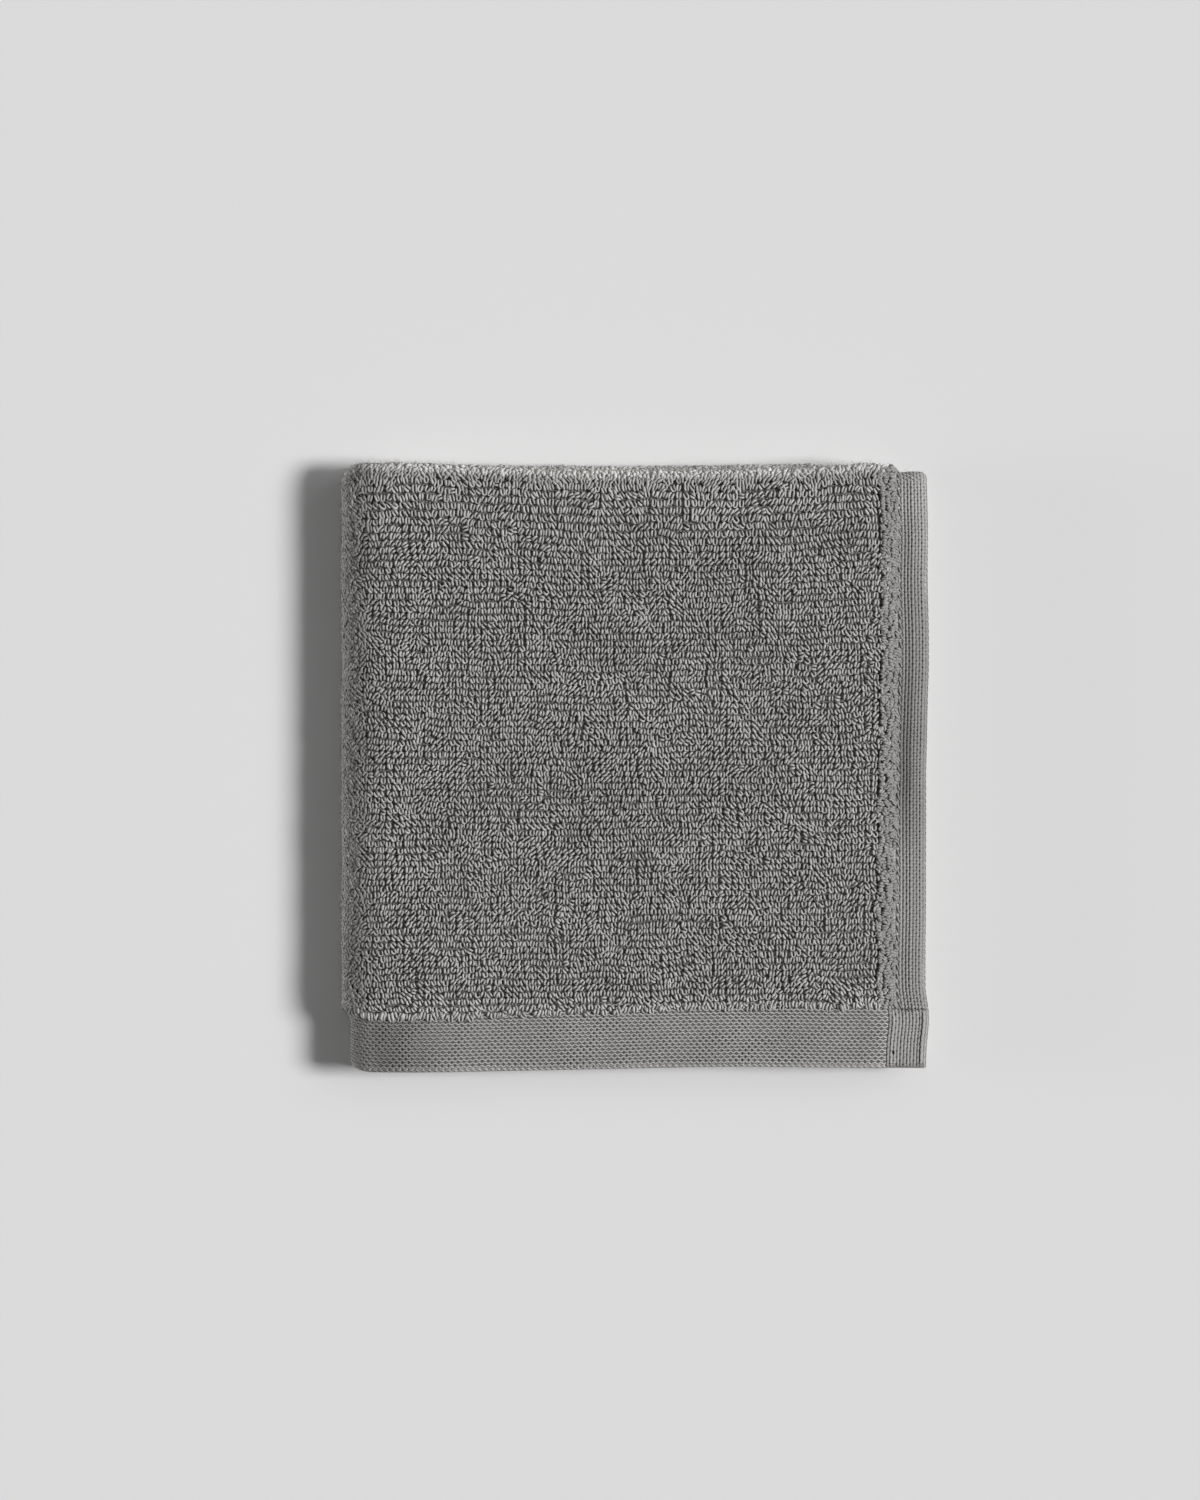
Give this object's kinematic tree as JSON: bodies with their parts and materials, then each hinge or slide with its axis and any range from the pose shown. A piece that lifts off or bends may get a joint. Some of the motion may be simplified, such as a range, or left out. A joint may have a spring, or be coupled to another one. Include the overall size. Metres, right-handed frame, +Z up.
{
  "type": "folded washcloth",
  "caption": "Square terry washcloth folded in four, lying flat, with turned side hems and flat woven end borders.",
  "frame": {"origin": "on the resting surface, under the middle of the folded cloth's outline", "axes": "+Z up through the four leaves, +Y to the far fold, +X to the side hems; the left fold lies to -X and the end borders to -Y"},
  "size_m": [0.1606, 0.1663, 0.0152],
  "materials": {
    "terry": "mid grey cotton, looped pile on both faces, plain woven hems and twill end borders, no sheen"
  },
  "bodies": {
    "root": {"washcloth": "terry"}
  },
  "joints": []
}
